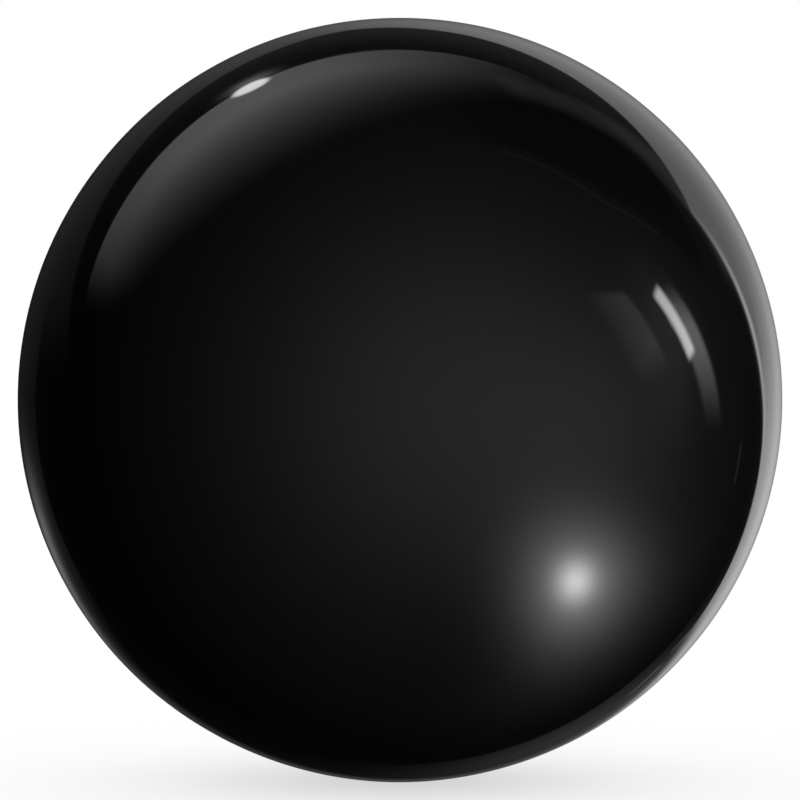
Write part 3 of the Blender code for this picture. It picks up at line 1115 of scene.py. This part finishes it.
def window(direction):
    """The dim window beside the strip light, brighter towards its right edge."""
    shape = 1.0
    following = WINDOW_CORNERS[1:] + WINDOW_CORNERS[:1]
    for start, end, softness in zip(WINDOW_CORNERS, following, WINDOW_SOFTNESS):
        shape = shape * ramp(left_of(direction, start, end), 0.0, softness)
    brighter = ramp(left_of(direction, WINDOW_CORNERS[3], WINDOW_CORNERS[0]), 0.0, WINDOW_FADE)
    return shape * (WINDOW_DIM + WINDOW_RADIANCE * brighter)


def round_lamp(direction):
    """The round lamp low on the right, with its wide halo."""
    x, y = beside(direction, LAMP_PLACE, LAMP_TILT)
    distance = root((x / LAMP_STRETCH) ** 2.0 + (y * LAMP_STRETCH) ** 2.0)
    core = LAMP_CORE_RADIANCE * exponential(-1.0 * (distance / LAMP_CORE_SIZE) ** 2.0)
    halo = LAMP_HALO_RADIANCE * exponential(-1.0 * (distance / LAMP_HALO_SIZE) ** LAMP_HALO_POWER)
    return (core + halo) * ahead(direction, LAMP_PLACE)


LIGHTS = (room, panel, overhead, behind, strip, window, round_lamp)


def studio_world():
    """The world: white to the camera, and the studio's lights to everything else."""
    world = bpy.data.worlds.new("studio")
    bpy.context.scene.world = world
    world.use_nodes = True
    tree = world.node_tree
    tree.nodes.clear()
    direction = Value(tree, tree.nodes.new("ShaderNodeTexCoord").outputs["Generated"])
    to_camera = Value(tree, tree.nodes.new("ShaderNodeLightPath").outputs["Is Camera Ray"])
    light = sum(lamp(direction) for lamp in LIGHTS)
    background = tree.nodes.new("ShaderNodeBackground")
    background.inputs["Color"].default_value = (1.0, 1.0, 1.0, 1.0)
    feed(tree, background.inputs["Strength"], to_camera + (1.0 - to_camera) * light)
    output = tree.nodes.new("ShaderNodeOutputWorld")
    tree.links.new(background.outputs["Background"], output.inputs["Surface"])


# ------------------------------------------------------------------ floor and camera


def floor_glow_painted_shadow():
    """White glow with a painted contact shadow, darker towards what stands on it as under soft light all
    round.
    """
    material = bpy.data.materials.new("floor_glow_painted_shadow")
    material.use_nodes = True
    tree = material.node_tree
    tree.nodes.clear()
    around = tree.nodes.new("ShaderNodeAmbientOcclusion")
    around.inputs["Distance"].default_value = FLOOR_REACH
    hidden = 1.0 - Value(tree, around.outputs["AO"])
    glow = tree.nodes.new("ShaderNodeEmission")
    # Painted shadow: the glow is dimmed where ambient occlusion finds the ball close
    feed(tree, glow.inputs["Strength"], 1.0 - FLOOR_SHADE * hidden * hidden)
    output = tree.nodes.new("ShaderNodeOutputMaterial")
    tree.links.new(glow.outputs["Emission"], output.inputs["Surface"])
    return material


def studio_floor():
    """A plain floor under the ball, which sends no light back to it."""
    half = FLOOR_SIZE / 2
    corners = [(-half, -half), (half, -half), (half, half), (-half, half)]
    mesh = bpy.data.meshes.new("studio_floor")
    mesh.from_pydata([(x, y, -BALL_R) for x, y in corners], [], [(0, 1, 2, 3)])
    mesh.materials.append(floor_glow_painted_shadow())
    floor = bpy.data.objects.new("studio_floor", mesh)
    bpy.context.scene.collection.objects.link(floor)
    floor.visible_glossy = False
    floor.visible_diffuse = False
    floor.visible_shadow = False


def key_lamp():
    """A soft key light on the valve's side for the satin parts: the gloss doesn't reflect it."""
    light = bpy.data.lights.new("key_lamp", "AREA")
    light.size = KEY_SIZE
    light.energy = KEY_POWER
    lamp = bpy.data.objects.new("key_lamp", light)
    lamp.location = aim(KEY_PLACE) * KEY_DISTANCE
    lamp.rotation_euler = (aim(KEY_PLACE)).to_track_quat("Z", "Y").to_euler()
    lamp.visible_glossy = False
    lamp.visible_camera = False
    bpy.context.scene.collection.objects.link(lamp)


def front_camera():
    """A level camera in front of the ball, on the valve's axis but on the far side from it."""
    camera = bpy.data.cameras.new("front_camera")
    camera.sensor_width = CAMERA_SENSOR
    outline_slope = BALL_R / math.sqrt(CAMERA_DISTANCE**2 - BALL_R**2)
    camera.lens = BALL_SHARE_OF_FRAME * CAMERA_SENSOR / 2 / outline_slope
    camera.clip_start = CAMERA_DISTANCE / CAMERA_CLIP_RATIO
    camera.clip_end = CAMERA_DISTANCE * CAMERA_CLIP_RATIO
    viewer = bpy.data.objects.new("front_camera", camera)
    viewer.location = (0.0, -CAMERA_DISTANCE, 0.0)
    viewer.rotation_euler = (math.pi / 2, 0.0, 0.0)
    bpy.context.scene.collection.objects.link(viewer)
    bpy.context.scene.camera = viewer
    bpy.context.scene.view_settings.view_transform = "Standard"


def build():
    """Make every piece of the ball, and the studio round it."""
    carcass = carcass_rubber()
    tacky_cover()
    front_carcass(carcass)
    valve_side_carcass(carcass)
    lap_tape()
    air_bladder()
    wall_patch()
    valve_body()
    sealing_core()
    pull_plug()
    studio_world()
    studio_floor()
    key_lamp()
    front_camera()


build()
